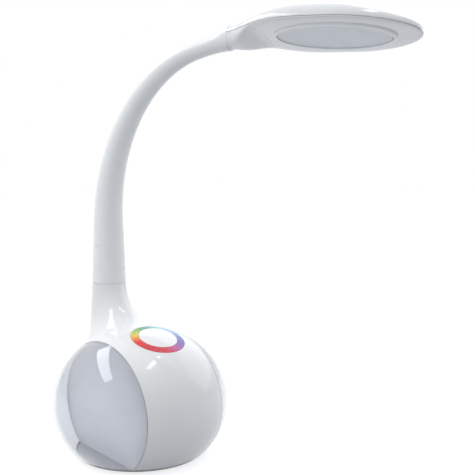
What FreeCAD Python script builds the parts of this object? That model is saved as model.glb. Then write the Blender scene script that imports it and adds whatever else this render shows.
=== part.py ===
import FreeCAD, Part
import math
import os

# Desk lamp: ball base with a white centre band and clear side domes, a
# flexible ball-and-socket arm in a smooth sleeve, and a flat oval light head.
# Origin: centre of the footprint on the desk. +Z up, front of the base is -Y.
# All lengths in millimetres, all angles in degrees.

V = FreeCAD.Vector

# ---- driving dimensions -------------------------------------------------
ball_r = 77.0            # widest radius of the ball, seen from above
ball_h = 66.4            # upright half-height of the ball
ball_z = 47.2            # height of the ball's widest line above the desk
foot_gap = 2.0           # the rubber pad holds the floor this far off the desk
pad_r = 49.0             # rubber pad radius
pad_edge = 0.4           # its chamfers
plate_t = 3.0            # floor plate thickness
plate_inset = 0.8        # shadow step between floor plate and ball
band_half = 38.5         # half width of the white centre band
shell_wall = 2.5         # band wall
dome_wall = 2.0          # clear dome wall
panel_t = 2.0            # white wall behind each dome
ledge_t = 2.5            # inner flange the white walls are screwed to
ledge_w = 8.0            # how far that flange reaches inward
peg_r = 1.2              # pegs that hold the white wall in the flange
peg_inset = 7.0          # pegs inside the ball's outside
peg_out = 2.0            # pegs stand out behind the flange
tongue_t = 1.4           # dome tongue that plugs into the band

neck_y = 50.3            # arm axis behind the base centre
neck_top = 147.8         # top of the moulded neck
neck_r = 15.7            # neck radius at its top
neck_flare = 6.0         # how much the neck widens down to its hidden foot
neck_fillet = 44.0       # sweep of the neck into the ball

ring_y = 27.5            # touch ring centre, forward of the base centre
ring_r = 23.7            # touch ring outer radius
ring_in = 17.0           # touch ring inner radius
ring_ledge = 3.0         # shell ledge under the ring
seat_t = 1.6             # thickness of that ledge
touch_post_r = 2.0       # posts for the touch board
cap_t = 1.5              # touch cap thickness

arm_turn = 20.0          # arm plane turned this far from straight ahead
bend_z = 205.0           # height where the arm starts to lean
bend_reach = 118.0       # forward half-axis of the bend
bend_rise = 150.0        # upright half-axis of the bend
bend_end = 80.0          # how far round the bend the arm runs
tail_len = 34.0          # straight run from the bend to the head
arm_r_tip = 7.4          # thinnest arm radius
arm_r_head = 10.0         # arm radius where it meets the head
arm_taper = 1.25         # how quickly the arm narrows
thin_at = 0.90           # part of the arm length at which it is thinnest

link_count = 10          # moving links in the arm
first_pivot = 16.0       # first ball joint, above the neck
last_gap = 19.0          # last ball joint, before the head

core_ball = 4.0          # conduit ball radius
core_wall = 1.3          # socket wall round the ball
core_rod = 2.0           # conduit rod radius
core_bore = 1.1          # wire bore
socket_mouth = 46.0      # half angle of the socket mouth
pin_r = 1.0              # hinge pins on the socket's inside
pin_in = 2.4             # pins end this far from the ball's centre

head_len = 160.8         # head length, root to nose
head_w = 36.4            # head half width
head_wide_at = 100.0     # from here the head narrows to its nose
head_shoulder = 73.0     # up to here it widens from the root
head_top_h = 16.8        # crown height above the seam
nose_h = 9.8             # height left at the nose
crown_at = 82.5          # distance from the root to the crown
head_low_h = 2.6         # depth below the seam
head_tilt = 3.3          # nose down
head_roll = 13.4         # rolled so that the near edge is up
head_wall = 2.2          # head shell wall
nose_power = 1.62        # how blunt the nose is
hood_len = 33.0          # lower cover at the root, up to the parting line
head_lift = 1.9          # seam plane above the arm axis at the root
hood_bow = 120.0         # radius of the parting line
lens_at = 91.0           # centre of the light window from the root
lens_l = 48.0            # half length of the light window
lens_w = 23.5            # half width of the light window
lip_w = 3.0              # raised lip round the light window
lip_t = 1.2              # how far that lip stands down
lip_round = 0.9          # its rounded edge
seam_gap = 0.8           # shadow gap between top shell and underside
seam_deep = 1.4          # how far that gap runs in
root_rise = 1.35          # how slowly the head starts to widen
root_fall = 2.5          # how gently it reaches full width
keel_len = 31.0          # the underside flattens within this distance of the root
keel_power = 1.4         # how evenly it does so
square_haste = 1.15      # the section squares off this much sooner than the sides widen
round_power = 2.0        # section power at the root: a circle
square_power = 2.7       # section power of the wide part: a squared oval
low_power = 5.0          # the underside is squarer still

ballast_r = 30.0         # ballast disc radius
ballast_t = 20.0         # ballast disc thickness
ballast_ring = 22.0      # its screws stand on this radius
ballast_edge = 1.5       # chamfer round its top
board_t = 1.6            # circuit boards
board_l, board_w = 66.0, 44.0
board_z = 36.0           # underside of the main board
rgb_top = 78.0           # upper edge of each light board
rgb_mid = 51.0           # middle row of its lights
rgb_pitch = 13.0         # spacing of those lights
rgb_post = 8.5           # light board stands this far off the white wall
rgb_post_r = 2.5         # posts that hold it
rgb_chip = 5.0           # side of a coloured light
chip_t = 1.6             # its height
jack_z = 20.0            # inlet height
jack_body_r = 5.5        # inlet body
jack_flange_r = 7.0      # its outer flange
jack_hole_r = 2.9        # its mouth
jack_mouth = 10.0        # depth of the mouth
jack_pin_r = 1.0         # its centre pin
jack_back = 48.0         # inner end of the inlet
jack_pad = 4.0           # wall thickness at the inlet
jack_flange_t = 1.4
rear_face = 66.0         # flat seat for the inlet at the rear
nut_t = 2.2              # thin nut behind the inlet
nut_r = 9.5              # corner radius of the neck nut
nut_h = 5.0              # its height
neck_floor = 7.0         # thickness of the neck's top
conduit_bore = 5.2       # hole in the neck's top for the conduit
conduit_tail = 28.0      # conduit below the top of the neck
conduit_nose = 14.0      # conduit beyond the end of the arm
collar_r, collar_t = 11.0, 2.5
collar_z = 4.0           # collar seat below the top of the neck

# ---- named clearances and small hardware --------------------------------
tie = 0.5                # joined solids run into each other by this
free = 0.3               # moving curved faces
snug = 0.2               # fixed parts beside each other
fit = 0.05               # rod in its hole
thin_cut = 0.15          # least depth of a hollow
seam_dome = 2.0          # how far each sleeve end is rounded past its radius
web_t = 2.4              # web that ties a sleeve to its conduit link
web_gap = 1.2            # from that web to the socket
root_spare = 4.0         # last sleeve before it is trimmed to the head
m3_r = 1.5               # case screw thread
m3_tap = 1.3             # its tapped hole
m3_head_r = 2.8
m3_head_t = 1.8
m2_r = 0.85              # board screw thread
m2_tap = 0.9
m2_free = 1.1            # clearance hole in a board
m2_head_r = 1.9
m2_head_t = 1.4
m2_len = 8.0
touch_screw = 5.0        # shorter screws under the touch board
screw_len = 12.0         # case screws
boss_r = 4.0
post_r = 3.0
big = 400.0              # half size of the cutting blocks

plate_top = foot_gap + plate_t
socket_in = core_ball + free
socket_out = socket_in + core_wall
sleeve_bore = socket_out + free
os.makedirs("parts", exist_ok=True)


def rad(a):
    return math.radians(a)


def save(name, shape):
    shape.exportStep("parts/%s.step" % name)
    print("node", name, "solids", len(shape.Solids), "volume", round(shape.Volume, 1))


def group(shapes):
    return Part.makeCompound(shapes)


def cyl(r, h, at, axis=V(0, 0, 1)):
    return Part.makeCylinder(r, h, at, axis)


def block(x0, x1, y0, y1, z0, z1):
    return Part.makeBox(x1 - x0, y1 - y0, z1 - z0, V(x0, y0, z0))


def one(shape):
    """Drop slivers and keep the main solid."""
    return max(shape.Solids, key=lambda s: s.Volume)


# ---- ball ---------------------------------------------------------------
def ball(inset=0.0):
    """Flattened ball whose poles lie in the side domes and whose seam is underneath."""
    a, c = ball_r - inset, ball_h - inset
    sphere = Part.makeSphere(1.0, V(0, 0, 0), V(1, 0, 0))
    sphere.rotate(V(0, 0, 0), V(1, 0, 0), 180)
    return sphere.transformGeometry(FreeCAD.Matrix(a, 0, 0, 0, 0, a, 0, 0, 0, 0, c, ball_z, 0, 0, 0, 1))


def skin(outer, inner):
    return ball(outer).cut(ball(inner))


def round_ball(x, inset, angle):
    """Height-plane point (y, z) on the ball's cut at x, at an angle round it."""
    a, c = ball_r - inset, ball_h - inset
    k = math.sqrt(1 - (x / a) ** 2)
    return a * k * math.cos(rad(angle)), ball_z + c * k * math.sin(rad(angle))


def slab(x0, x1):
    return block(x0, x1, -big, big, plate_top, big)


def stem(inset=0.0, low=60.0):
    wide = neck_r + neck_flare
    return Part.makeCone(wide - inset, neck_r - inset, neck_top - low, V(0, neck_y, low))


# ---- touch control frame ------------------------------------------------
def touch_frame():
    z = ball_z + ball_h * math.sqrt(1 - (ring_y / ball_r) ** 2)
    n = V(0, -ring_y / ball_r ** 2, (z - ball_z) / ball_h ** 2).normalize()
    return V(0, -ring_y, z), n


ring_p, ring_n = touch_frame()


def touch_cyl(r, up=20.0, down=30.0):
    return cyl(r, up + down, ring_p - ring_n * down, ring_n)


def round_touch(r, angle):
    side = V(1, 0, 0)
    other = ring_n.cross(side)
    return ring_p + side * (r * math.cos(rad(angle))) + other * (r * math.sin(rad(angle)))


shell_bosses = [(sx * 24.0, sy * 40.0) for sx in (-1, 1) for sy in (-1, 1)]
board_posts = [(sx * 18.0, sy * 29.0) for sx in (-1, 1) for sy in (-1, 1)]
ballast_holes = [(ballast_ring * math.cos(rad(a)), ballast_ring * math.sin(rad(a)))
                 for a in (90, 210, 330)]
peg_angles = [-28.0, 25.0, 62.0, 118.0, 155.0, 208.0]
rgb_spots = [(-28.0, 30.0), (28.0, 30.0), (-24.0, 72.0), (24.0, 72.0)]
touch_depth = 10.0       # top face of the touch board, below the ring
touch_board_t = 1.2
touch_led_r = 1.4
touch_posts = [30.0, 150.0, 270.0]
post_ring = ring_r - 0.5
ledge_x = band_half - snug - panel_t - ledge_t
peg_spots = [round_ball(ledge_x + ledge_t, peg_inset, a) for a in peg_angles]


def base_shell():
    outer = ball().fuse(stem())
    ring = [e for e in outer.Edges
            if e.BoundBox.ZMin > ball_z and e.BoundBox.ZMax < neck_top - neck_floor
            and e.BoundBox.YMin > 0 and e.Length > neck_flare]
    outer = outer.makeFillet(neck_fillet, ring)
    body = outer.common(slab(-band_half, band_half))
    inner = ball(shell_wall).fuse(stem(shell_wall))
    body = body.cut(inner.cut(block(-big, big, -big, big, neck_top - neck_floor, big)))
    body = body.cut(cyl(neck_r - shell_wall, big, V(0, neck_y, neck_top - collar_z)))
    body = body.cut(cyl(conduit_bore, 2 * neck_floor, V(0, neck_y, neck_top - 2 * neck_floor)))
    flange = skin(shell_wall - tie / 5, shell_wall + ledge_w)
    for s in (-1, 1):
        x0, x1 = sorted((s * ledge_x, s * (ledge_x + ledge_t)))
        body = body.fuse(flange.common(slab(x0, x1)))
    inside = ball(shell_wall - tie / 5)
    for x, y in shell_bosses:
        body = body.fuse(cyl(boss_r, ball_z, V(x, y, plate_top)).common(inside))
        body = body.cut(cyl(m3_tap, screw_len, V(x, y, plate_top)))
    rear = V(0, 1, 0)
    pad = cyl(jack_flange_r + 2, big, V(0, rear_face - jack_pad, jack_z), rear).common(ball(tie))
    body = body.fuse(pad)
    body = body.cut(cyl(jack_body_r + snug, big, V(0, ballast_r, jack_z), rear))
    body = body.cut(cyl(jack_flange_r + snug, big, V(0, rear_face, jack_z), rear))
    seat = skin(shell_wall - tie / 5, shell_wall + seat_t).common(touch_cyl(ring_r + ring_ledge))
    body = body.fuse(seat).cut(touch_cyl(ring_r - ring_ledge))
    window = ball(-5).cut(ball(shell_wall)).common(touch_cyl(ring_r))
    body = body.cut(window)
    for a in touch_posts:
        p = round_touch(post_ring, a) - ring_n * touch_depth
        post = cyl(touch_post_r, touch_depth, p, ring_n).common(ball(shell_wall + tie))
        body = body.fuse(post).cut(cyl(m2_tap, touch_depth / 2, p, ring_n))
    for s in (-1, 1):
        for y, z in peg_spots:
            body = body.cut(cyl(peg_r + fit, 3 * ledge_t, V(s * (ledge_x - ledge_t), y, z), V(s, 0, 0)))
    return one(body)


def base_plate():
    body = ball(plate_inset).common(block(-big, big, -big, big, foot_gap, plate_top))
    for x, y in board_posts:
        body = body.fuse(cyl(post_r, board_z - plate_top, V(x, y, plate_top)))
        body = body.cut(cyl(m2_tap, m2_len, V(x, y, board_z - m2_len)))
    for x, y in shell_bosses:
        body = body.cut(cyl(m3_r + snug, 2 * plate_top, V(x, y, 0)))
        body = body.cut(cyl(m3_head_r + snug, m3_head_t, V(x, y, foot_gap)))
    for x, y in ballast_holes:
        body = body.cut(cyl(m3_tap, 2 * plate_top, V(x, y, foot_gap)))
    return one(body)


def screw(at, axis, length, r=m3_r, head_r=m3_head_r, head_t=m3_head_t):
    """Cross-head screw; its head starts at the given point and it runs along axis."""
    body = cyl(head_r, head_t, at, axis).fuse(cyl(r, length, at, axis))
    side = axis.cross(V(0, 0, 1) if abs(axis.z) < 0.9 else V(1, 0, 0)).normalize()
    other = axis.cross(side)
    w, d = head_r * 0.3, head_t * 0.55
    for a, b in ((side, other), (other, side)):
        corner = at - a * (head_r * 0.6) - b * (w / 2)
        pts = [corner, corner + a * (head_r * 1.2), corner + a * (head_r * 1.2) + b * w, corner + b * w]
        face = Part.Face(Part.makePolygon(pts + [pts[0]]))
        body = body.cut(face.extrude(axis * d))
    return one(body)


def small_screw(at, axis, length=m2_len):
    return screw(at, axis, length, m2_r, m2_head_r, m2_head_t)


def base_screws():
    return group([screw(V(x, y, foot_gap), V(0, 0, 1), screw_len)
                  for x, y in shell_bosses])


def rubber_pad():
    body = cyl(pad_r, foot_gap, V(0, 0, 0))
    rims = [e for e in body.Edges if e.Length > pad_r]
    return one(body.makeChamfer(pad_edge, rims))


def ballast():
    body = cyl(ballast_r, ballast_t, V(0, 0, plate_top))
    top = [e for e in body.Edges if e.BoundBox.ZMin > plate_top + ballast_t - tie]
    body = body.makeChamfer(ballast_edge, top)
    for x, y in ballast_holes:
        body = body.cut(cyl(m3_r + snug, big, V(x, y, 0)))
    return one(body)


def ballast_screws():
    top = plate_top + ballast_t + m3_head_t
    return group([screw(V(x, y, top), V(0, 0, -1), top - foot_gap - tie, m3_tap - fit)
                  for x, y in ballast_holes])


# ---- side domes, white walls and coloured lights ------------------------
def dome(s):
    edge = sorted((s * band_half, s * big))
    body = skin(0.0, dome_wall).common(slab(*edge))
    tongue_x = sorted((s * (ledge_x + ledge_t + snug), s * (band_half + tie)))
    tongue = skin(shell_wall + snug, shell_wall + snug + tongue_t).common(slab(*tongue_x))
    inner_x = sorted((s * band_half, s * (band_half + tongue_t)))
    shoulder = skin(dome_wall - tie, shell_wall + snug + tongue_t).common(slab(*inner_x))
    return one(body.fuse([tongue, shoulder]))


def panel(s):
    x0, x1 = sorted((s * (ledge_x + ledge_t), s * (ledge_x + ledge_t + panel_t)))
    body = ball(shell_wall + tongue_t + 3 * snug).common(slab(x0, x1))
    body = body.cut(block(-big, big, -big, big, plate_top, plate_top + snug))
    inward = V(-s, 0, 0)
    for y, z in rgb_spots:
        foot = V(s * (ledge_x + ledge_t + tie), y, z)
        body = body.fuse(cyl(rgb_post_r, rgb_post, foot, inward))
        body = body.cut(cyl(m2_tap, m2_len, foot + inward * (rgb_post + panel_t - m2_len), inward))
    for y, z in peg_spots:
        peg = cyl(peg_r, ledge_t + peg_out, V(s * (ledge_x + ledge_t + tie), y, z), inward)
        body = body.fuse(peg)
    return one(body)


rgb_x = ledge_x + ledge_t + tie - rgb_post


def rgb_board(s):
    x0, x1 = sorted((s * rgb_x, s * (rgb_x - board_t)))
    body = block(x0, x1, -board_l / 2, board_l / 2, plate_top + ballast_t + 2, rgb_top)
    for y, z in rgb_spots:
        body = body.cut(cyl(m2_free, 4 * board_t, V(s * (rgb_x - 2 * board_t), y, z), V(s, 0, 0)))
    return one(body)


def rgb_leds():
    out = []
    half = rgb_chip / 2
    for s in (-1, 1):
        x0, x1 = sorted((s * rgb_x, s * (rgb_x + chip_t)))
        for row in (-1.5, -0.5, 0.5, 1.5):
            for level in (-1, 0, 1):
                y, z = row * rgb_pitch, rgb_mid + level * rgb_pitch
                out.append(block(x0, x1, y - half, y + half, z - half, z + half))
    return group(out)


# ---- boards in the base -------------------------------------------------
def main_board():
    x, y = board_w / 2, board_l / 2
    body = block(-x, x, -y, y, board_z, board_z + board_t)
    for x, y in board_posts:
        body = body.cut(cyl(m2_free, 4 * board_t, V(x, y, board_z - board_t)))
    return one(body)


def board_parts():
    z = board_z + board_t
    parts = [block(-7, 7, -12, 2, z, z + 1.6), block(-16, -8, 8, 16, z, z + 6),
             block(6, 18, 6, 12, z, z + 4), block(-14, -10, -22, -12, z, z + 1.2)]
    parts += [cyl(3.5, 9, V(x, 20, z)) for x in (-4.5, 4.5)]
    parts += [block(x - 1, x + 1, -20, -18.6, z, z + 0.8) for x in (-4, 0, 4, 8, 12)]
    return group(parts)


def board_screws():
    z = board_z + board_t
    out = [small_screw(V(x, y, z + m2_head_t), V(0, 0, -1)) for x, y in board_posts]
    for s in (-1, 1):
        x = s * (rgb_x - board_t - m2_head_t)
        out += [small_screw(V(x, y, level), V(s, 0, 0)) for y, level in rgb_spots]
    for a in touch_posts:
        p = round_touch(post_ring, a) - ring_n * (touch_depth + touch_board_t + m2_head_t)
        out.append(small_screw(p, ring_n, touch_screw))
    return group(out)


def dc_jack():
    y0, y1 = rear_face, rear_face + jack_flange_t
    axis = V(0, 1, 0)
    body = cyl(jack_body_r, y0 - jack_back, V(0, jack_back, jack_z), axis)
    body = body.fuse(cyl(jack_flange_r, y1 - y0, V(0, y0, jack_z), axis))
    body = body.cut(cyl(jack_hole_r, 2 * jack_mouth, V(0, y1 - jack_mouth, jack_z), axis))
    body = body.fuse(cyl(jack_pin_r, jack_mouth, V(0, y1 - jack_mouth - tie, jack_z), axis))
    nut = cyl(jack_flange_r + 1, nut_t, V(0, rear_face - jack_pad - nut_t, jack_z), axis)
    return one(body.fuse(nut))


def touch_ring():
    ring = skin(0.0, shell_wall - fit).common(touch_cyl(ring_r - snug).cut(touch_cyl(ring_in)))
    lip = skin(cap_t + fit, shell_wall - fit).common(
        touch_cyl(ring_in + tie).cut(touch_cyl(ring_in - ring_ledge)))
    return one(ring.fuse(lip))


def touch_cap():
    return one(touch_cyl(ring_in - snug).common(ball()).cut(ball(cap_t)))


def touch_board():
    p = ring_p - ring_n * (touch_depth + touch_board_t)
    body = cyl(post_ring + 3, touch_board_t, p, ring_n)
    for a in touch_posts:
        q = round_touch(post_ring, a) - ring_n * (touch_depth + 2 * touch_board_t)
        body = body.cut(cyl(m2_free, 4 * touch_board_t, q, ring_n))
    return one(body)


def ring_leds():
    out = []
    count = 12
    for i in range(count):
        angle = 360 * (i + 0.5) / count
        p = round_touch((ring_r + ring_in) / 2 - touch_led_r, angle) - ring_n * touch_depth
        out.append(cyl(touch_led_r, touch_led_r, p, ring_n))
    return group(out)


# ---- arm centreline -----------------------------------------------------
fwd = V(math.sin(rad(arm_turn)), -math.cos(rad(arm_turn)), 0)
side = V(math.cos(rad(arm_turn)), math.sin(rad(arm_turn)), 0)
up = V(0, 0, 1)
root = V(0, neck_y, 0)


def build_path():
    """Even-stepped table of (arc length, forward, height, lean)."""
    rows = [(0.0, 0.0, neck_top, 0.0)]
    s = bend_z - neck_top
    rows.append((s, 0.0, bend_z, 0.0))
    u0, z0 = 0.0, bend_z
    steps = 400
    for i in range(1, steps + 1):
        t = rad(bend_end) * i / steps
        u = bend_reach * (1 - math.cos(t))
        z = bend_z + bend_rise * math.sin(t)
        s += math.hypot(u - u0, z - z0)
        lean = math.atan2(bend_reach * math.sin(t), bend_rise * math.cos(t))
        rows.append((s, u, z, lean))
        u0, z0 = u, z
    lean = rows[-1][3]
    rows.append((s + tail_len, u0 + tail_len * math.sin(lean), z0 + tail_len * math.cos(lean), lean))
    return rows


path_rows = build_path()
arm_len = path_rows[-1][0]


def along(s):
    """Point, tangent and in-plane normal of the arm centreline."""
    rows = path_rows
    s = min(max(s, 0.0), arm_len)
    for a, b in zip(rows, rows[1:]):
        if s <= b[0]:
            k = (s - a[0]) / (b[0] - a[0])
            u, z, lean = (a[i] + k * (b[i] - a[i]) for i in (1, 2, 3))
            break
    p = root + fwd * u + up * z
    t = up * math.cos(lean) + fwd * math.sin(lean)
    n = fwd * math.cos(lean) - up * math.sin(lean)
    return p, t, n


def arm_r(s):
    thin = thin_at * arm_len
    if s < thin:
        return arm_r_tip + (neck_r - arm_r_tip) * (1 - s / thin) ** arm_taper
    return arm_r_tip + (arm_r_head - arm_r_tip) * ((s - thin) / (arm_len - thin)) ** 2


def tube(s0, s1, grow=None, steps=6):
    """Tapered tube along the centreline; grow None is the outer skin."""
    wires = []
    for i in range(steps + 1):
        s = s0 + (s1 - s0) * i / steps
        p, t, n = along(s)
        r = arm_r(s) if grow is None else grow
        over = s - min(max(s, 0.0), arm_len)
        wires.append(Part.Wire([Part.Circle(p + t * over, t, r).toShape()]))
    return Part.makeLoft(wires, True, False)


pitch = (arm_len - last_gap - first_pivot) / (link_count - 1)
pivots = [first_pivot + pitch * k for k in range(link_count)]


def turned_sphere(k, r, pole, seam):
    """Sphere about pivot k with its poles along one direction and its seam towards another."""
    p = along(pivots[k])[0]
    y = pole.cross(seam)
    place = FreeCAD.Matrix(seam.x, y.x, pole.x, p.x, seam.y, y.y, pole.y, p.y,
                           seam.z, y.z, pole.z, p.z, 0, 0, 0, 1)
    out = Part.makeSphere(r)
    out.Placement = FreeCAD.Placement(place)
    return out


def seam_r(k):
    return arm_r(pivots[k]) + seam_dome


def seam_sphere(k, grow=0.0):
    """Sphere of a sleeve's rounded end; poles to the sides, seam down the arm."""
    return turned_sphere(k, seam_r(k) + grow, side, -along(pivots[k])[1])


def sleeve(i):
    """One length of sleeve: i = 0 is fixed to the neck, the last carries the head."""
    low = 0.0 if i == 0 else pivots[i - 1] + 1
    high = arm_len + root_spare if i == link_count else pivots[i] + seam_r(i) + 1
    body = tube(low, high).cut(tube(low - 1, high + 1, sleeve_bore))
    body = body.fuse(web(i))
    if i > 0:
        body = body.cut(seam_sphere(i - 1, free))
    if i < link_count:
        p, t, n = along(pivots[i])
        far = cyl(4 * neck_r, 4 * neck_r, p, t)
        body = body.cut(far.cut(seam_sphere(i)))
    else:
        body = body.cut(in_head(block(-snug, big, -big, big, -big, big)))
    return one(body)


def core_line(i):
    """End points of conduit link i."""
    tip, out = along(arm_len)[:2]
    a = along(pivots[i - 1])[0] if i > 0 else along(0)[0] - up * conduit_tail
    b = along(pivots[i])[0] if i < link_count else tip + out * conduit_nose
    return a, b


def web(i):
    a, b = core_line(i)
    axis = (b - a).normalize()
    if i == 0:
        at, hole = along(0)[0], core_ball + 1 + fit
    elif i == link_count:
        at, hole = along(arm_len)[0] - axis * (web_t + tie), core_rod + fit
    else:
        at, hole = b - axis * (socket_out + web_gap + web_t), core_rod + fit
    disc = cyl(sleeve_bore + tie, web_t, at, axis)
    return disc.cut(cyl(hole, 3 * web_t, at - axis * web_t, axis))


def hinge_axis(k):
    """Links turn fore and aft, then sideways, by turns."""
    return side if k % 2 == 0 else along(pivots[k])[2]


def joint_ball(k, r, seam):
    """Small sphere at a pivot whose poles stay clear of both hinge directions."""
    t, n = along(pivots[k])[1:]
    return turned_sphere(k, r, (side + n).normalize(), t * seam)


def pins(k, r, inner, outer):
    p = along(pivots[k])[0]
    return [cyl(r, outer - inner, p + a * inner, a) for a in (hinge_axis(k), -hinge_axis(k))]


def core(i):
    """Conduit link: pinned ball at its lower end, socket at its upper end, wire bore through."""
    a, b = core_line(i)
    axis = (b - a).normalize()
    rod_r = core_ball + 1 if i == 0 else core_rod
    reach = (b - a).Length - (socket_out - tie if i < link_count else 0)
    body = cyl(rod_r, reach, a, axis)
    if i > 0:
        body = body.fuse(joint_ball(i - 1, core_ball, -1))
        for hole in pins(i - 1, pin_r + fit, pin_in - free, core_ball + 1):
            body = body.cut(hole)
    else:
        body = body.fuse(cyl(collar_r, collar_t, V(0, neck_y, neck_top - collar_z), up))
    if i < link_count:
        t = along(pivots[i])[1]
        cup = joint_ball(i, socket_out, 1)
        reach = 4 * socket_out
        mouth = Part.makeCone(0, reach * math.tan(rad(socket_mouth)), reach, b, t)
        body = body.fuse(cup).cut(joint_ball(i, socket_in, 1)).cut(mouth)
        body = body.fuse(pins(i, pin_r, pin_in, socket_in + core_wall / 2))
    body = body.cut(cyl(core_bore, big, a - axis * conduit_tail, axis))
    return one(body)


def neck_nut():
    pts = []
    low = neck_top - neck_floor - nut_h
    for i in range(7):
        a = rad(60 * i)
        pts.append(V(nut_r * math.cos(a), neck_y + nut_r * math.sin(a), low))
    body = Part.Face(Part.makePolygon(pts)).extrude(V(0, 0, nut_h))
    return one(body.cut(cyl(core_ball + 1 + fit, 3 * nut_h, V(0, neck_y, low - nut_h))))


# ---- head ---------------------------------------------------------------
def head_frame():
    p = along(arm_len)[0]
    nose = fwd * math.cos(rad(head_tilt)) - up * math.sin(rad(head_tilt))
    top = up * math.cos(rad(head_tilt)) + fwd * math.sin(rad(head_tilt))
    across = side * math.cos(rad(head_roll)) - top * math.sin(rad(head_roll))
    top = top * math.cos(rad(head_roll)) + side * math.sin(rad(head_roll))
    return p + top * head_lift, nose, across, top


head_o, head_x, head_y, head_z = head_frame()
# placement that carries the head from its own frame (x nose, y far side, z crown)
head_m = FreeCAD.Matrix(head_x.x, head_y.x, head_z.x, head_o.x,
                        head_x.y, head_y.y, head_z.y, head_o.y,
                        head_x.z, head_y.z, head_z.z, head_o.z,
                        0, 0, 0, 1)


def in_head(shape):
    out = shape.copy()
    out.Placement = FreeCAD.Placement(head_m).multiply(shape.Placement)
    return out


def nose_law(s, inset=0.0):
    x = max(0.0, s - head_wide_at) / (head_len - inset - head_wide_at)
    return math.sqrt(max(0.0, 1 - min(1.0, x) ** nose_power))


def root_law(s):
    v = min(1.0, max(0.0, s) / head_shoulder)
    return 1 - (1 - v ** root_rise) ** root_fall


def head_half(s):
    return arm_r_head + (head_w - arm_r_head) * root_law(s)


def crown_law(s):
    """Height above the seam: up from the arm to the crown, then down to the nose."""
    low = arm_r_head - head_lift
    if s < crown_at:
        return low + (head_top_h - low) * math.sin(math.pi / 2 * max(0.0, s) / crown_at)
    x = (s - crown_at) / (head_len - crown_at)
    return nose_h + (head_top_h - nose_h) * math.cos(math.pi / 2 * min(1.0, x)) ** 2


def keel_law(s):
    """Depth below the seam: from the arm's underside up to the flat of the head."""
    low = arm_r_head + head_lift
    x = min(1.0, max(0.0, s) / keel_len)
    return head_low_h + (low - head_low_h) * math.cos(math.pi / 2 * x) ** keel_power


def section_power(s, top):
    wide = square_power if top else low_power
    return round_power + (wide - round_power) * root_law(s * square_haste)


def head_section(s, top, inset):
    """Half outline of the head at a distance from its root."""
    nose = nose_law(s, inset)
    w = (head_half(s) - inset) * nose
    h = max(((crown_law(s) if top else keel_law(s)) - inset) * math.sqrt(nose), thin_cut)
    power = section_power(s, top)
    pts = []
    count = 16
    for i in range(count + 1):
        a = math.pi * i / count
        c, d = math.cos(a), math.sin(a)
        y = w * math.copysign(abs(c) ** (2 / power), c)
        z = h * abs(d) ** (2 / power) * (1 if top else -1)
        pts.append(V(s, y, z))
    pts[0].z = pts[-1].z = 0.0
    curve = Part.BSplineCurve()
    curve.interpolate(pts)
    return Part.Wire([curve.toShape(), Part.makeLine(pts[-1], pts[0])])


def head_form(top, inset=0.0, start=0.0):
    nose = head_len - inset
    stations = [start + (head_wide_at - start) * i / 10 for i in range(11)]
    stations += [head_wide_at + (nose - head_wide_at) * math.sin(math.pi / 2 * i / 7)
                 for i in range(1, 7)]
    stations.append(nose - 0.25)
    wires = [head_section(s, top, inset) for s in stations]
    return Part.makeLoft(wires, True, False)


def inside_half(s, z):
    """Half width of the top shell's inside at a height above the seam."""
    nose = nose_law(s, head_wall)
    h = (crown_law(s) - head_wall) * math.sqrt(nose)
    p = section_power(s, True)
    return (head_half(s) - head_wall) * nose * (1 - (z / h) ** p) ** (1 / p)


def outline(inset, z0, z1):
    """Upright prism of the head's outline."""
    nose = head_len - inset
    near = [head_wide_at * i / 7 - 1.0 for i in range(8)]
    near += [head_wide_at + (nose - head_wide_at) * math.sin(math.pi / 2 * i / 8) for i in range(1, 8)]
    far = [V(x, (head_half(x) - inset) * nose_law(x, inset), z0) for x in near]
    pts = far + [V(nose, 0, z0)] + [V(p.x, -p.y, z0) for p in reversed(far)]
    curve = Part.BSplineCurve()
    curve.interpolate(pts)
    wire = Part.Wire([curve.toShape(), Part.makeLine(pts[-1], pts[0])])
    return Part.Face(wire).extrude(V(0, 0, z1 - z0))


snap_spots = [66.0, 102.0, 134.0]
snap_l, snap_t, snap_h = 8.0, 1.2, 4.0
led_posts = [(62.0, -14.0), (62.0, 14.0), (124.0, -14.0), (124.0, 14.0)]
led_z = 5.0              # top face of the LED board above the seam
led_board_t = 1.2
led_post_r = 2.4         # posts that hold the LED board
led_screw = 6.0          # its screws
led_chip = (3.5, 2.8, 0.8)
led_pitch = 9.5          # spacing of the chips
led_row = 7.5            # each row of chips off the middle
lens_land = 3.0          # diffuser rim beyond the window
lens_land_t = 1.2
clamp_at = 4.0           # clamp behind the root plane
clamp_len = 12.0
clamp_low, clamp_top, clamp_half = -5.0, 4.5, 4.6


def head_top():
    body = head_form(True).cut(head_form(True, head_wall, -1.0))
    inside = head_form(True, head_wall - tie / 2, tie)
    for x, y in led_posts:
        body = body.fuse(cyl(led_post_r, head_w, V(x, y, led_z)).common(inside))
        body = body.cut(cyl(m2_tap, led_screw, V(x, y, led_z)))
    return one(body)


def lens_prism(grow, z0, z1):
    curve = Part.Ellipse(V(lens_at + lens_l + grow, 0, z0), V(lens_at, lens_w + grow, z0),
                         V(lens_at, 0, z0))
    return Part.Face(Part.Wire([curve.toShape()])).extrude(V(0, 0, z1 - z0))


def parting(front):
    """Everything ahead of (or behind) the bowed parting line."""
    gap = 0.0 if front else snug
    behind = cyl(hood_bow, 2 * head_w, V(hood_len - hood_bow - gap, 0, -head_w))
    return block(-big, big, -big, big, -head_w, head_w).cut(behind) if front else behind


def head_lower():
    """Underside shell, with a shadow gap let into its rim."""
    body = head_form(False).cut(head_form(False, head_wall, -1.0))
    rim = block(-big, big, -big, big, -seam_gap, 1).cut(outline(seam_deep, -seam_gap - 1, 2))
    return body.cut(rim)


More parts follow.
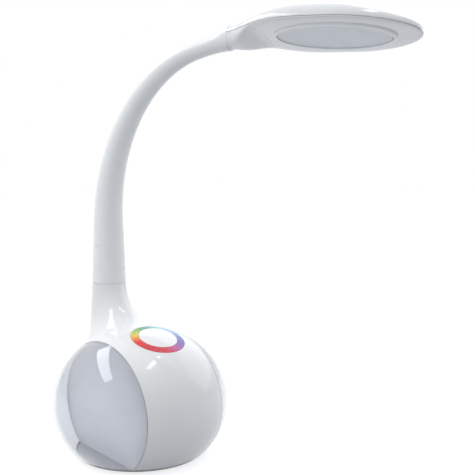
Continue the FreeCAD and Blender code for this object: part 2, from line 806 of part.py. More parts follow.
def head_bottom():
    face = -head_low_h - lip_t
    lip = lens_prism(lip_w, face, -head_low_h + 1)
    lip = lip.makeFillet(lip_round, [e for e in lip.Edges if e.BoundBox.ZMax < face + snug])
    body = head_lower().common(parting(True)).fuse(lip)
    body = body.cut(lens_prism(0.0, -big, big))
    for s in snap_spots:
        y = min(inside_half(s + e * snap_l / 2, snap_h) for e in (-1, 1)) - free
        for y0 in (y - snap_t, -y):
            body = body.fuse(block(s - snap_l / 2, s + snap_l / 2, y0, y0 + snap_t, -1, snap_h))
    return one(body)


def head_hood():
    return one(head_lower().common(parting(False)))


def diffuser():
    low = -head_low_h - lip_t / 4
    plate = lens_prism(-snug, low, low + head_wall)
    plate = plate.makeFillet(tie, [e for e in plate.Edges if e.BoundBox.ZMax < low + snug])
    plate = plate.fuse(lens_prism(-2 * tie, low + head_wall - tie, fit + tie))
    plate = plate.fuse(lens_prism(lens_land, fit, lens_land_t))
    return one(plate.cut(lens_prism(-head_wall, low + head_wall - tie, led_z)))


def led_board():
    body = lens_prism(-4.0, led_z - led_board_t, led_z)
    for x, y in led_posts:
        body = body.cut(cyl(m2_free, 4 * led_board_t, V(x, y, led_z - 2 * led_board_t)))
    return one(body)


def led_chips():
    out = []
    top = led_z - led_board_t
    length, width, height = led_chip
    for i in range(-3, 4):
        for y in (-led_row, led_row):
            x = lens_at + i * led_pitch
            out.append(block(x - length / 2, x + length / 2, y - width / 2, y + width / 2,
                             top - height, top))
    return group(out)


def led_screws():
    low = led_z - led_board_t - m2_head_t
    return group([small_screw(V(x, y, low), V(0, 0, 1), led_screw) for x, y in led_posts])


def clamp_block():
    a, b = core_line(link_count)
    axis = (b - a).normalize()
    body = block(clamp_at, clamp_at + clamp_len, -clamp_half, clamp_half, clamp_low, clamp_top)
    body = in_head(body)
    return one(body.cut(cyl(core_rod + fit, big, a, axis)))


def main():
    save("base_shell", base_shell())
    save("base_plate", base_plate())
    save("base_screws", base_screws())
    save("rubber_pad", rubber_pad())
    save("ballast", ballast())
    save("ballast_screws", ballast_screws())
    for s, name in ((-1, "left"), (1, "right")):
        save(name + "_dome", dome(s))
        save(name + "_panel", panel(s))
        save(name + "_rgb_board", rgb_board(s))
    save("rgb_leds", rgb_leds())
    save("main_board", main_board())
    save("board_parts", board_parts())
    save("board_screws", board_screws())
    save("dc_jack", dc_jack())
    save("touch_ring", touch_ring())
    save("touch_cap", touch_cap())
    save("touch_board", touch_board())
    save("ring_leds", ring_leds())
    save("neck_nut", neck_nut())
    for i in range(link_count + 1):
        save("arm_sleeve_%d" % i, sleeve(i))
        save("arm_core_%d" % i, core(i))
    save("head_top", in_head(head_top()))
    save("head_bottom", in_head(head_bottom()))
    save("head_hood", in_head(head_hood()))
    save("diffuser", in_head(diffuser()))
    save("led_board", in_head(led_board()))
    save("led_chips", in_head(led_chips()))
    save("led_screws", in_head(led_screws()))
    save("head_socket", clamp_block())
    for k in range(link_count):
        p, t, n = along(pivots[k])
        print("pivot %d %.4f %.4f %.4f normal %.5f %.5f %.5f" % ((k + 1,) + tuple(p) + tuple(n)))


main()
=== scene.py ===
"""Dressing for the ball-base desk lamp: materials, clear domes, flexible sleeve, stage, light and camera."""

import math

import bmesh
import bpy
from mathutils import Matrix, Vector

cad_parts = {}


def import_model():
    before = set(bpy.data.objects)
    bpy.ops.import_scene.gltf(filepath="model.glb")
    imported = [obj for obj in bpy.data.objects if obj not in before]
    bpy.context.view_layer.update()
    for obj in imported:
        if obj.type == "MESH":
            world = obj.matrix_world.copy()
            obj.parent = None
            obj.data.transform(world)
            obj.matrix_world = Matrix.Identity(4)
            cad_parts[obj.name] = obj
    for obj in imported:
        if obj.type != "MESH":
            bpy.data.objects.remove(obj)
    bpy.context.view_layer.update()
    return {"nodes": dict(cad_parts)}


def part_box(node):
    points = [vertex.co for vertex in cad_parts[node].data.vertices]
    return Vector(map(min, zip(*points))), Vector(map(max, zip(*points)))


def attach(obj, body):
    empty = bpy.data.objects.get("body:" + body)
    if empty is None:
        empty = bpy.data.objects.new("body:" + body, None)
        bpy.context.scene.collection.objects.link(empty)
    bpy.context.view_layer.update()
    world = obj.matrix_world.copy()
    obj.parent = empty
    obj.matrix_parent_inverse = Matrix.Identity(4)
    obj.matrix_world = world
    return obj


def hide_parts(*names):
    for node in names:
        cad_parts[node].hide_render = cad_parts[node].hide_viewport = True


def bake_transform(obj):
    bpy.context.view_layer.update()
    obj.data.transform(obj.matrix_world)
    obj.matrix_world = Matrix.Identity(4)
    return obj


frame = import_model()
nodes = frame["nodes"]

# ---- arm line, in metres, as the frame has it -----------------------------
NECK_Y, NECK_TOP, NECK_R = 0.0503, 0.1478, 0.0157
ARM_TURN = 20.0                                       # degrees from the front, towards +X
BEND_Z, BEND_REACH, BEND_RISE, BEND_END = 0.205, 0.118, 0.150, 80.0   # elliptic bend, ended in degrees
TAIL_LEN = 0.034                                      # straight run from the bend to the head
TIP_R, HEAD_R, TAPER, THIN_AT = 0.0074, 0.0100, 1.25, 0.90
LINKS, FIRST_PIVOT, LAST_GAP = 10, 0.016, 0.019
ARC_STEPS = 400
TURN = math.radians(ARM_TURN)
FWD = Vector((math.sin(TURN), -math.cos(TURN), 0))
SIDE = Vector((math.cos(TURN), math.sin(TURN), 0))
UP = Vector((0, 0, 1))
ROOT = Vector((0, NECK_Y, 0))


def arm_rows():
    """Rows down the arm's line: arc length, reach, height and lean from upright."""
    rows = [(0.0, 0.0, NECK_TOP, 0.0), (BEND_Z - NECK_TOP, 0.0, BEND_Z, 0.0)]
    s, u0, z0 = rows[-1][0], 0.0, BEND_Z
    for i in range(1, ARC_STEPS + 1):
        t = math.radians(BEND_END) * i / ARC_STEPS
        u, z = BEND_REACH * (1 - math.cos(t)), BEND_Z + BEND_RISE * math.sin(t)
        s += math.hypot(u - u0, z - z0)
        rows.append((s, u, z, math.atan2(BEND_REACH * math.sin(t), BEND_RISE * math.cos(t))))
        u0, z0 = u, z
    lean = rows[-1][3]
    rows.append((s + TAIL_LEN, u0 + TAIL_LEN * math.sin(lean), z0 + TAIL_LEN * math.cos(lean), lean))
    return rows


ROWS = arm_rows()
ARM_LEN = ROWS[-1][0]
PITCH = (ARM_LEN - LAST_GAP - FIRST_PIVOT) / (LINKS - 1)
PIVOTS = [FIRST_PIVOT + PITCH * k for k in range(LINKS)]


def along(s):
    """Point on the arm's line at an arc length, its direction there and the direction out of its back."""
    s = min(max(s, 0.0), ARM_LEN)
    for a, b in zip(ROWS, ROWS[1:]):
        if s <= b[0]:
            k = (s - a[0]) / (b[0] - a[0])
            u, z, lean = (a[i] + k * (b[i] - a[i]) for i in (1, 2, 3))
            break
    p = ROOT + FWD * u + UP * z
    t = UP * math.cos(lean) + FWD * math.sin(lean)
    return p, t, t.cross(SIDE)


def arm_r(s):
    """Radius of the sleeve's skin: it narrows from the neck, then widens a little before the head."""
    thin = THIN_AT * ARM_LEN
    if s < thin:
        return TIP_R + (NECK_R - TIP_R) * (1 - s / thin) ** TAPER
    return TIP_R + (HEAD_R - TIP_R) * ((s - thin) / (ARM_LEN - thin)) ** 2


# ---- root of the head: where the sleeve meets it ----------------------------
HEAD_TILT, HEAD_ROLL, HEAD_LIFT, ROOT_GAP = math.radians(3.3), math.radians(13.4), 0.0019, 0.0001
MORPH = 0.014            # the sleeve takes on the head's outline over this length
HALVINGS = 40
NOSE = FWD * math.cos(HEAD_TILT) - UP * math.sin(HEAD_TILT)
LEVEL_CROWN = UP * math.cos(HEAD_TILT) + FWD * math.sin(HEAD_TILT)
ACROSS = SIDE * math.cos(HEAD_ROLL) - LEVEL_CROWN * math.sin(HEAD_ROLL)
CROWN = LEVEL_CROWN * math.cos(HEAD_ROLL) + SIDE * math.sin(HEAD_ROLL)


def root_reach(angle):
    """Distance from the arm's axis to the head's root outline, at an angle in its plane."""
    near, far = 0.0, 2 * HEAD_R
    for _ in range(HALVINGS):
        mid = (near + far) / 2
        y, z = mid * math.cos(angle), mid * math.sin(angle) - HEAD_LIFT
        h = HEAD_R - HEAD_LIFT if z > 0 else HEAD_R + HEAD_LIFT
        near, far = (mid, far) if (y / HEAD_R) ** 2 + (z / h) ** 2 < 1 else (near, mid)
    return near


def sleeve_point(s, inset, a):
    """Point of the sleeve's skin (or of its bore, by inset) at an angle round the arm."""
    p, t, n = along(s)
    out = SIDE * math.cos(a) + n * math.sin(a)
    left = ARM_LEN - s
    if left >= MORPH:
        return p + out * (arm_r(s) - inset)
    share = 1 - left / MORPH
    share = share * share * (3 - 2 * share)
    _, t, _ = along(ARM_LEN)
    reach = root_reach(math.atan2(out.dot(CROWN), out.dot(ACROSS)))
    r = arm_r(s) + (reach - arm_r(ARM_LEN)) * share - inset
    slant = -(out * r).dot(NOSE) / t.dot(NOSE) - ROOT_GAP
    return p + out * r + t * slant * share


# ---- mesh helpers ---------------------------------------------------------
def smooth_object(name, verts, faces, sharp=()):
    """Smooth-shaded object whose sharp edges are given as pairs of points."""
    mesh = bpy.data.meshes.new(name)
    mesh.from_pydata([tuple(v) for v in verts], [], faces)
    mesh.polygons.foreach_set("use_smooth", [True] * len(mesh.polygons))
    for e in mesh.edges:
        if tuple(e.vertices) in sharp or tuple(reversed(e.vertices)) in sharp:
            e.use_edge_sharp = True
    mesh.update()
    obj = bpy.data.objects.new(name, mesh)
    bpy.context.scene.collection.objects.link(obj)
    return obj


def lathe_along(name, stations, corners, segments=72):
    """Closed ring-by-ring surface: stations are (arc length, inset), joined end to start."""
    verts, faces, sharp = [], [], set()
    for s, inset in stations:
        verts += [sleeve_point(s, inset, 2 * math.pi * j / segments) for j in range(segments)]
    rings = len(stations)
    for i in range(rings):
        k = (i + 1) % rings
        for j in range(segments):
            m = (j + 1) % segments
            faces.append((i * segments + j, i * segments + m, k * segments + m, k * segments + j))
            if i in corners:
                sharp.add((i * segments + j, i * segments + m))
    return smooth_object(name, verts, faces, sharp)


# ---- clear side domes: caps of the ball, either side of the band --------------
BALL_R, BALL_H, BALL_Z = 0.0770, 0.0664, 0.0472       # level radius, half height and height of its centre
BAND_HALF, DOME_WALL, PLATE_TOP = 0.0385, 0.0020, 0.0050
TONGUE_IN, TONGUE_OUT, TONGUE_LOW = 0.0043, 0.0026, 0.0365
RIM, RIM_SINK = 0.0005, 0.00005                       # chamfer at the band, and its depth into the band's face
CREASE = 0.6                                          # radians
# the third dome material is painted shade: a dark grey on the rim chamfer that stands for the shadow gap where
# the dome meets the band
CLEAR, MILKY, PAINTED_SHADE = 0, 1, 2                          # a dome's materials


def tongue_ring(s, turns, base):
    """The dome's bonded edge, which plugs into the band: four corner rings and the faces between."""
    verts, faces = [], []
    for x, inset in ((TONGUE_LOW, TONGUE_OUT), (BAND_HALF, TONGUE_OUT),
                     (BAND_HALF, TONGUE_IN), (TONGUE_LOW, TONGUE_IN)):
        a, c = BALL_R - inset, BALL_H - inset
        k = math.sqrt(1 - (x / a) ** 2)
        for j in range(turns):
            g = 2 * math.pi * j / turns
            verts.append(Vector((s * x, a * k * math.cos(g), BALL_Z + c * k * math.sin(g))))
    for i in range(4):
        a, b = base + i * turns, base + (i + 1) % 4 * turns
        faces += [(a + j, a + (j + 1) % turns, b + (j + 1) % turns, b + j) for j in range(turns)]
    return verts, faces


def cut_at_plate(mesh):
    """Cut a mesh off level with the floor plate, fill the cut and mark its creases."""
    bm = bmesh.new()
    bm.from_mesh(mesh)
    cut = bmesh.ops.bisect_plane(bm, geom=bm.verts[:] + bm.edges[:] + bm.faces[:], plane_co=(0, 0, PLATE_TOP),
                                 plane_no=(0, 0, 1), clear_inner=True)
    bmesh.ops.triangle_fill(bm, edges=[g for g in cut["geom_cut"] if isinstance(g, bmesh.types.BMEdge)],
                            use_beauty=True)
    bmesh.ops.recalc_face_normals(bm, faces=bm.faces[:])
    for e in bm.edges:
        if len(e.link_faces) == 2 and e.calc_face_angle() > CREASE:
            e.smooth = False
    for f in bm.faces:
        f.smooth = True
    bm.to_mesh(mesh)
    bm.free()


def dome_skin(name, s, rows=40, turns=160):
    """Clear side dome: an even wall from the band's edge to the pole, cut level with the floor plate."""
    edge, verts, faces = BAND_HALF - RIM_SINK, [], []
    for inset in (0.0, DOME_WALL):
        a, c = BALL_R - inset, BALL_H - inset
        last = math.acos(edge / a)
        verts.append(Vector((s * a, 0, BALL_Z)))
        for i in range(1, rows + 1):
            f = last * i / rows
            if inset == 0.0 and i >= rows - 1:      # chamfer where the dome meets the band
                drop = RIM if i == rows else 0.0
                a, c = a - drop, c - drop
                f = math.acos((edge + RIM - drop) / a)
            for j in range(turns):
                g = 2 * math.pi * j / turns
                verts.append(Vector((s * a * math.cos(f), a * math.sin(f) * math.cos(g),
                                     BALL_Z + c * math.sin(f) * math.sin(g))))
    size = 1 + rows * turns
    chamfer = []
    for shell in (0, size):
        for j in range(turns):
            m = (j + 1) % turns
            faces.append((shell, shell + 1 + j, shell + 1 + m))
            for i in range(rows - 1):
                a, b = shell + 1 + i * turns, shell + 1 + (i + 1) * turns
                if shell == 0 and i == rows - 2:
                    chamfer.append(len(faces))
                faces.append((a + j, b + j, b + m, a + m))
    low = 1 + (rows - 1) * turns
    for j in range(turns):
        m = (j + 1) % turns
        faces.append((low + j, low + m, size + low + m, size + low + j))
    skin_faces = len(faces)
    tongue_verts, tongue_faces = tongue_ring(s, turns, len(verts))
    obj = smooth_object(name, verts + tongue_verts, faces + tongue_faces)
    for face in obj.data.polygons[skin_faces:]:
        face.material_index = MILKY
    # painted shade: the chamfer faces get a dark grey that stands for the shadow gap at the band
    for i in chamfer:
        obj.data.polygons[i].material_index = PAINTED_SHADE
    cut_at_plate(obj.data)
    return obj


# ---- shader helpers -------------------------------------------------------
NOISE_ROUGH, FINE_DETAIL = 0.55, 2.0
NOISE_LOW, NOISE_HIGH = 0.3, 0.7                      # where most of a noise's values lie
RELIEF = 0.0002                                       # depth of a fine relief


def start_material(name):
    mat = bpy.data.materials.new(name)
    mat.use_nodes = True
    tree = mat.node_tree
    tree.nodes.clear()
    out = tree.nodes.new("ShaderNodeOutputMaterial")
    where = tree.nodes.new("ShaderNodeTexCoord")
    return mat, tree, out, where


def noise(tree, where, scale, detail=3.0):
    n = tree.nodes.new("ShaderNodeTexNoise")
    n.inputs["Scale"].default_value = scale
    n.inputs["Detail"].default_value = detail
    n.inputs["Roughness"].default_value = NOISE_ROUGH
    tree.links.new(where.outputs["Object"], n.inputs["Vector"])
    return n


def ramp(tree, source, stops):
    """Colour ramp over a value: stops are (position, colour)."""
    r = tree.nodes.new("ShaderNodeValToRGB")
    el = r.color_ramp.elements
    while len(el) < len(stops):
        el.new(0.5)
    for e, (at, colour) in zip(el, stops):
        e.position = at
        e.color = (*colour, 1.0)
    tree.links.new(source, r.inputs["Fac"])
    return r.outputs["Color"]


def remap(tree, source, low, high, from_low=0.0, from_high=1.0):
    """A value carried from one range to another."""
    m = tree.nodes.new("ShaderNodeMapRange")
    m.inputs["From Min"].default_value = from_low
    m.inputs["From Max"].default_value = from_high
    m.inputs["To Min"].default_value = low
    m.inputs["To Max"].default_value = high
    tree.links.new(source, m.inputs["Value"])
    return m.outputs["Result"]


def most(tree, sources):
    """Greatest of several values, two at a time."""
    top = sources[0]
    for source in sources[1:]:
        m = tree.nodes.new("ShaderNodeMath")
        m.operation = "MAXIMUM"
        tree.links.new(top, m.inputs[0])
        tree.links.new(source, m.inputs[1])
        top = m.outputs["Value"]
    return top


def cloudy_colour(tree, where, bsdf, scale, shade, light, low=NOISE_LOW, high=NOISE_HIGH):
    """Base colour that drifts between two close tones."""
    cloud = noise(tree, where, scale)
    tree.links.new(ramp(tree, cloud.outputs["Fac"], [(low, shade), (high, light)]), bsdf.inputs["Base Color"])


def uneven_gloss(tree, where, bsdf, scale, low, high):
    """Roughness that wanders between two values."""
    wipe = noise(tree, where, scale, FINE_DETAIL)
    spread = remap(tree, wipe.outputs["Fac"], low, high, NOISE_LOW, NOISE_HIGH)
    tree.links.new(spread, bsdf.inputs["Roughness"])


def relief(tree, height, bsdf, strength):
    """Fine relief on the surface, from a height."""
    lift = tree.nodes.new("ShaderNodeBump")
    lift.inputs["Strength"].default_value = strength
    lift.inputs["Distance"].default_value = RELIEF
    tree.links.new(height, lift.inputs["Height"])
    tree.links.new(lift.outputs["Normal"], bsdf.inputs["Normal"])


# ---- materials ------------------------------------------------------------
def moulded(name, light, shade, rough, rough_span, grain, bump, coat=0.0, metallic=0.0, stretch=None):
    """Plastic, rubber or metal: cloudy colour, uneven gloss and a fine moulded grain."""
    mat, tree, out, where = start_material(name)
    bsdf = tree.nodes.new("ShaderNodeBsdfPrincipled")
    cloudy_colour(tree, where, bsdf, 26.0, shade, light, 0.32, 0.68)
    uneven_gloss(tree, where, bsdf, 75.0, rough - rough_span, rough + rough_span)
    fine = noise(tree, where, grain, FINE_DETAIL)
    if stretch:
        bend = tree.nodes.new("ShaderNodeMapping")
        bend.inputs["Scale"].default_value = stretch
        tree.links.new(where.outputs["Object"], bend.inputs["Vector"])
        tree.links.new(bend.outputs["Vector"], fine.inputs["Vector"])
    relief(tree, fine.outputs["Fac"], bsdf, bump)
    bsdf.inputs["Metallic"].default_value = metallic
    bsdf.inputs["Coat Weight"].default_value = coat
    bsdf.inputs["Coat Roughness"].default_value = 0.06
    tree.links.new(bsdf.outputs["BSDF"], out.inputs["Surface"])
    return mat


def clear_plastic(name, tint, edge, rough):
    """Thin clear moulding: tinted glass that lets the lamps' light through."""
    mat, tree, out, where = start_material(name)
    bsdf = tree.nodes.new("ShaderNodeBsdfPrincipled")
    cloudy_colour(tree, where, bsdf, 18.0, edge, tint)
    uneven_gloss(tree, where, bsdf, 60.0, rough, rough + 0.02)
    bsdf.inputs["Transmission Weight"].default_value = 1.0
    bsdf.inputs["IOR"].default_value = 1.46
    gate = tree.nodes.new("ShaderNodeMixShader")
    path = tree.nodes.new("ShaderNodeLightPath")
    bare = tree.nodes.new("ShaderNodeBsdfTransparent")
    bare.inputs["Color"].default_value = (*tint, 1.0)
    tree.links.new(path.outputs["Is Shadow Ray"], gate.inputs["Fac"])
    tree.links.new(bsdf.outputs["BSDF"], gate.inputs[1])
    tree.links.new(bare.outputs["BSDF"], gate.inputs[2])
    tree.links.new(gate.outputs["Shader"], out.inputs["Surface"])
    return mat


RING_Y = 0.0275          # how far forward of the ball's centre the touch ring sits
RING_GLOW = 0.08
# colours round the ring, from the side facing the left dome, turning over the front
RING_STOPS = [
    (0.00, (0.70, 0.05, 0.04)),
    (0.10, (0.62, 0.04, 0.05)),
    (0.22, (0.64, 0.06, 0.10)),
    (0.29, (0.56, 0.09, 0.28)),
    (0.35, (0.26, 0.10, 0.42)),
    (0.42, (0.09, 0.09, 0.40)),
    (0.50, (0.12, 0.18, 0.52)),
    (0.58, (0.22, 0.48, 0.80)),
    (0.66, (0.22, 0.56, 0.70)),
    (0.73, (0.06, 0.34, 0.28)),
    (0.80, (0.08, 0.34, 0.12)),
    (0.87, (0.42, 0.52, 0.08)),
    (0.92, (0.78, 0.52, 0.07)),
    (0.96, (0.76, 0.24, 0.05)),
    (1.00, (0.70, 0.05, 0.04)),
]


def ring_frame():
    """Frame of the touch ring: its centre, and its turn, whose Z is the axis leaning forward out of the ball."""
    low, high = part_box("touch_ring")
    n = Vector((0, -RING_Y / BALL_R ** 2, math.sqrt(1 - (RING_Y / BALL_R) ** 2) / BALL_H)).normalized()
    x = Vector((1, 0, 0))
    return (low + high) / 2, Matrix((x, n.cross(x), n)).transposed()


def rainbow(name):
    """Milky light ring: hue runs once round the ring's axis."""
    mat, tree, out, where = start_material(name)
    centre, turn = ring_frame()
    place = tree.nodes.new("ShaderNodeMapping")
    place.vector_type = "TEXTURE"
    place.inputs["Location"].default_value = centre
    place.inputs["Rotation"].default_value = turn.to_euler("XYZ")
    tree.links.new(where.outputs["Object"], place.inputs["Vector"])
    split = tree.nodes.new("ShaderNodeSeparateXYZ")
    tree.links.new(place.outputs["Vector"], split.inputs["Vector"])
    angle = tree.nodes.new("ShaderNodeMath")
    angle.operation = "ARCTAN2"
    tree.links.new(split.outputs["Y"], angle.inputs[0])
    tree.links.new(split.outputs["X"], angle.inputs[1])
    hues = ramp(tree, remap(tree, angle.outputs["Value"], 0.0, 1.0, -math.pi, math.pi), RING_STOPS)
    bsdf = tree.nodes.new("ShaderNodeBsdfPrincipled")
    tree.links.new(hues, bsdf.inputs["Base Color"])
    tree.links.new(hues, bsdf.inputs["Emission Color"])
    bsdf.inputs["Emission Strength"].default_value = RING_GLOW
    uneven_gloss(tree, where, bsdf, 220.0, 0.22, 0.34)
    tree.links.new(bsdf.outputs["BSDF"], out.inputs["Surface"])
    return mat


def frosted(name):
    """Milky light window with a fine dimpled face."""
    mat, tree, out, where = start_material(name)
    bsdf = tree.nodes.new("ShaderNodeBsdfPrincipled")
    cloudy_colour(tree, where, bsdf, 30.0, shade=(0.80, 0.82, 0.86), light=(0.84, 0.86, 0.90))
    dots = tree.nodes.new("ShaderNodeTexVoronoi")
    dots.inputs["Scale"].default_value = 900.0
    tree.links.new(where.outputs["Object"], dots.inputs["Vector"])
    relief(tree, dots.outputs["Distance"], bsdf, 0.15)
    uneven_gloss(tree, where, bsdf, 90.0, 0.36, 0.46)
    tree.links.new(bsdf.outputs["BSDF"], out.inputs["Surface"])
    return mat


white = moulded("white_gloss", light=(0.86, 0.87, 0.885), shade=(0.845, 0.855, 0.87),
                rough=0.11, rough_span=0.02, grain=900.0, bump=0.03, coat=0.2)
sleeve_white = moulded("sleeve_silicone", light=(0.90, 0.91, 0.925), shade=(0.885, 0.895, 0.91),
                       rough=0.30, rough_span=0.04, grain=1500.0, bump=0.02)
inner_white = moulded("inner_wall_white", light=(0.92, 0.93, 0.945), shade=(0.905, 0.915, 0.93),
                      rough=0.45, rough_span=0.02, grain=700.0, bump=0.01)
floor_grey = moulded("floor_plate_grey", light=(0.44, 0.45, 0.47), shade=(0.40, 0.41, 0.43),
                     rough=0.5, rough_span=0.06, grain=700.0, bump=0.15)
pad_black = moulded("pad_rubber", light=(0.05, 0.05, 0.055), shade=(0.035, 0.035, 0.04),
                    rough=0.7, rough_span=0.06, grain=800.0, bump=0.3)
black = moulded("black_nylon", light=(0.04, 0.04, 0.045), shade=(0.03, 0.03, 0.034),
                rough=0.45, rough_span=0.05, grain=900.0, bump=0.12)
steel = moulded("turned_steel", light=(0.66, 0.66, 0.68), shade=(0.58, 0.58, 0.60),
                rough=0.28, rough_span=0.06, grain=500.0, bump=0.1, metallic=1.0, stretch=(1, 1, 8))
iron = moulded("cast_iron", light=(0.16, 0.16, 0.17), shade=(0.11, 0.11, 0.12),
               rough=0.6, rough_span=0.08, grain=500.0, bump=0.5)
board_green = moulded("solder_mask", light=(0.03, 0.20, 0.09), shade=(0.02, 0.15, 0.07),
                      rough=0.32, rough_span=0.05, grain=600.0, bump=0.08)
resin = moulded("led_resin", light=(0.90, 0.84, 0.48), shade=(0.86, 0.80, 0.44),
                rough=0.25, rough_span=0.04, grain=900.0, bump=0.05)
# painted shade: dark grey for the dome's rim chamfer, standing for the shadow gap between dome and band
rim_painted_shade = moulded("dome_rim_painted_shade", light=(0.15, 0.155, 0.17), shade=(0.12, 0.125, 0.14),
                   rough=0.4, rough_span=0.05, grain=700.0, bump=0.05)
dome_clear = clear_plastic("dome_clear", tint=(0.73, 0.745, 0.78), edge=(0.715, 0.73, 0.765), rough=0.01)
ring_light = rainbow("ring_light")
lens = frosted("light_window")

FINISH = {
    "base_shell": white, "head_top": white, "head_bottom": white, "head_hood": white, "touch_cap": white,
    "left_panel": inner_white, "right_panel": inner_white, "left_dome": dome_clear, "right_dome": dome_clear,
    "base_plate": floor_grey, "rubber_pad": pad_black, "touch_ring": ring_light, "diffuser": lens,
    "dc_jack": black, "board_parts": black, "ballast": iron, "led_chips": resin, "rgb_leds": resin,
    "ring_leds": resin,
}
for n, obj in nodes.items():
    if n.startswith("arm_sleeve"):
        mat = sleeve_white
    elif n.startswith("arm_core") or n.endswith("screws") or n in ("neck_nut", "head_socket"):
        mat = steel
    elif n.endswith("board"):
        mat = board_green
    else:
        mat = FINISH[n]
    obj.data.materials.clear()
    obj.data.materials.append(mat)

for side_name, s in (("left", -1), ("right", 1)):
    piece = dome_skin("%s_clear_dome" % side_name, s)
    for mat in (dome_clear, inner_white, rim_painted_shade):          # in the order CLEAR, MILKY, PAINTED_SHADE
        piece.data.materials.append(mat)
    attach(piece, "base")
    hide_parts("%s_dome" % side_name)

# ---- flexible sleeve: one length over each ball joint ------
WALL, RING_STEP, FEWEST_STEPS = 0.0012, 0.0010, 12
LIP = 0.0005                                          # rounding at the foot, on the neck
LIP_RINGS = [(0.00005, LIP), (0.00015, 0.4 * LIP)]    # height and inset of its rings


def sleeve_length(k):
    """The length of sleeve over ball joint k, from halfway to the joint below to halfway to the one above."""
    low = 0.0 if k == 0 else (PIVOTS[k - 1] + PIVOTS[k]) / 2
    high = ARM_LEN if k == LINKS - 1 else (PIVOTS[k] + PIVOTS[k + 1]) / 2
    steps = max(FEWEST_STEPS, round((high - low) / RING_STEP))
    outer = [low + (high - low) * i / steps for i in range(steps + 1)]
    rings = []
    if k == 0:
        rings += [(low + rise, inset) for rise, inset in LIP_RINGS]
        outer[0] = low + LIP
    first = len(rings)
    rings += [(s, 0.0) for s in outer]
    rings += [(s, WALL) for s in reversed(outer)]
    corners = {0, len(rings) - 1, first + len(outer) - 1, first + len(outer)}
    piece = lathe_along("sleeve_length_%d" % k, rings, corners)
    piece.data.materials.append(sleeve_white)
    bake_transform(piece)
    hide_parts(*(["arm_sleeve_%d" % k] + (["arm_sleeve_%d" % LINKS] if k == LINKS - 1 else [])))


for k in range(LINKS):
    sleeve_length(k)


# ---- stage, light, camera ---------------------------------------------------
WHITE_TO = ("Is Camera Ray", "Is Glossy Ray", "Is Transmission Ray")   # rays that meet the white ground
FLOOR_HALF, FLOOR_COLOUR, FLOOR_GLOW = 6.0, (0.42, 0.43, 0.45, 1), 0.77
ROOM_BRIGHT, ROOM_DIM, ROOM_TINT = 0.74, 0.54, (0.965, 0.985, 1.0)
DIM_SIDE = Vector((-0.63, -0.73, 0.27)).normalized()
DIM_FROM, DIM_TO = 0.55, 0.92                         # cosines from DIM_SIDE between which the room dims
LAMP_AIM, STRIP_AIM, OVER_AIM = (0, 0, 0.15), (-0.05, -0.02, 0.09), (0, 0, 0.1)


def sees_white(tree):
    """1 for the rays that meet the white ground, 0 for the rest."""
    path = tree.nodes.new("ShaderNodeLightPath")
    return most(tree, [path.outputs[o] for o in WHITE_TO])


def floor():
    mesh = bpy.data.meshes.new("studio_floor")
    r = FLOOR_HALF
    mesh.from_pydata([(-r, -r, 0), (r, -r, 0), (r, r, 0), (-r, r, 0)], [], [(0, 1, 2, 3)])
    obj = bpy.data.objects.new("studio_floor", mesh)
    bpy.context.scene.collection.objects.link(obj)
    mat, tree, out, _ = start_material("studio_white")
    diffuse = tree.nodes.new("ShaderNodeBsdfDiffuse")
    diffuse.inputs["Color"].default_value = FLOOR_COLOUR
    glow = tree.nodes.new("ShaderNodeEmission")
    tree.links.new(remap(tree, sees_white(tree), 0.0, FLOOR_GLOW), glow.inputs["Strength"])
    add = tree.nodes.new("ShaderNodeAddShader")
    tree.links.new(diffuse.outputs["BSDF"], add.inputs[0])
    tree.links.new(glow.outputs["Emission"], add.inputs[1])
    tree.links.new(add.outputs["Shader"], out.inputs["Surface"])
    obj.data.materials.append(mat)


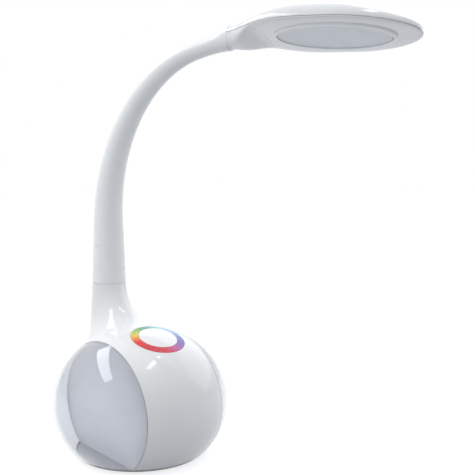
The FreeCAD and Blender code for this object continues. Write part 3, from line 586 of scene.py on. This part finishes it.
def world(bright, dim):
    """White where it is seen; as light, an even room that is dimmer towards the front left."""
    w = bpy.data.worlds.new("studio")
    bpy.context.scene.world = w
    w.use_nodes = True
    tree = w.node_tree
    tree.nodes.clear()
    out = tree.nodes.new("ShaderNodeOutputWorld")
    back = tree.nodes.new("ShaderNodeBackground")
    where = tree.nodes.new("ShaderNodeTexCoord")
    facing = tree.nodes.new("ShaderNodeVectorMath")
    facing.operation = "DOT_PRODUCT"
    facing.inputs[1].default_value = DIM_SIDE
    tree.links.new(where.outputs["Generated"], facing.inputs[0])
    seen = sees_white(tree)
    level = tree.nodes.new("ShaderNodeMix")
    tree.links.new(seen, level.inputs["Factor"])
    tree.links.new(remap(tree, facing.outputs["Value"], bright, dim, DIM_FROM, DIM_TO), level.inputs[2])
    level.inputs[3].default_value = 1.0
    tree.links.new(level.outputs[0], back.inputs["Strength"])
    tree.links.new(ramp(tree, seen, [(0.0, ROOM_TINT), (1.0, (1.0, 1.0, 1.0))]), back.inputs["Color"])
    tree.links.new(back.outputs["Background"], out.inputs["Surface"])


def softbox(name, start, end, aim, width, power, mirrored=True):
    """Rectangular light whose long axis runs from start to end, facing aim."""
    start, end, aim = Vector(start), Vector(end), Vector(aim)
    data = bpy.data.lights.new(name, "AREA")
    data.shape = "RECTANGLE"
    data.size, data.size_y = (end - start).length, width
    data.energy = power
    obj = bpy.data.objects.new(name, data)
    at = (start + end) / 2
    z = (at - aim).normalized()
    x = (end - start).normalized()
    x = (x - z * x.dot(z)).normalized()
    turn = Matrix((x, z.cross(x), z)).transposed()
    obj.location = at
    obj.rotation_mode = "QUATERNION"
    obj.rotation_quaternion = turn.to_quaternion()
    obj.visible_glossy = mirrored
    bpy.context.scene.collection.objects.link(obj)


floor()
world(ROOM_BRIGHT, ROOM_DIM)
softbox("top_box", start=(-0.6, 0.1, 1.6), end=(0.8, 0.1, 1.6), aim=LAMP_AIM, width=1.4, power=1.0)
softbox("right_box", start=(1.4, -0.9, 0.8), end=(0.8, 1.2, 0.8), aim=LAMP_AIM, width=0.9, power=5.3)
softbox("left_box", start=(-1.5, -0.2, 0.45), end=(-1.1, 1.0, 0.45), aim=LAMP_AIM, width=0.7, power=2.4,
        mirrored=False)
softbox("rear_strip", start=(-0.06, 0.86, 0.93), end=(-0.88, 0.02, 0.96), aim=STRIP_AIM, width=0.22, power=3.4)
softbox("over_strip", start=(-0.10, -0.50, 1.47), end=(0.46, -0.15, 1.49), aim=OVER_AIM, width=0.12, power=1.6)

camera = bpy.data.objects.new("camera", bpy.data.cameras.new("camera"))
camera.data.sensor_width = 36.0
camera.data.lens = 60.63
camera.data.clip_start, camera.data.clip_end = 0.01, 50.0
camera.location = (-0.3945, -0.5844, 0.2497)
camera.rotation_mode = "QUATERNION"
camera.rotation_quaternion = Vector((0.6544, 0.7517, -0.0816)).to_track_quat("-Z", "Y")
bpy.context.scene.collection.objects.link(camera)
bpy.context.scene.camera = camera
bpy.context.scene.view_settings.view_transform = "Standard"
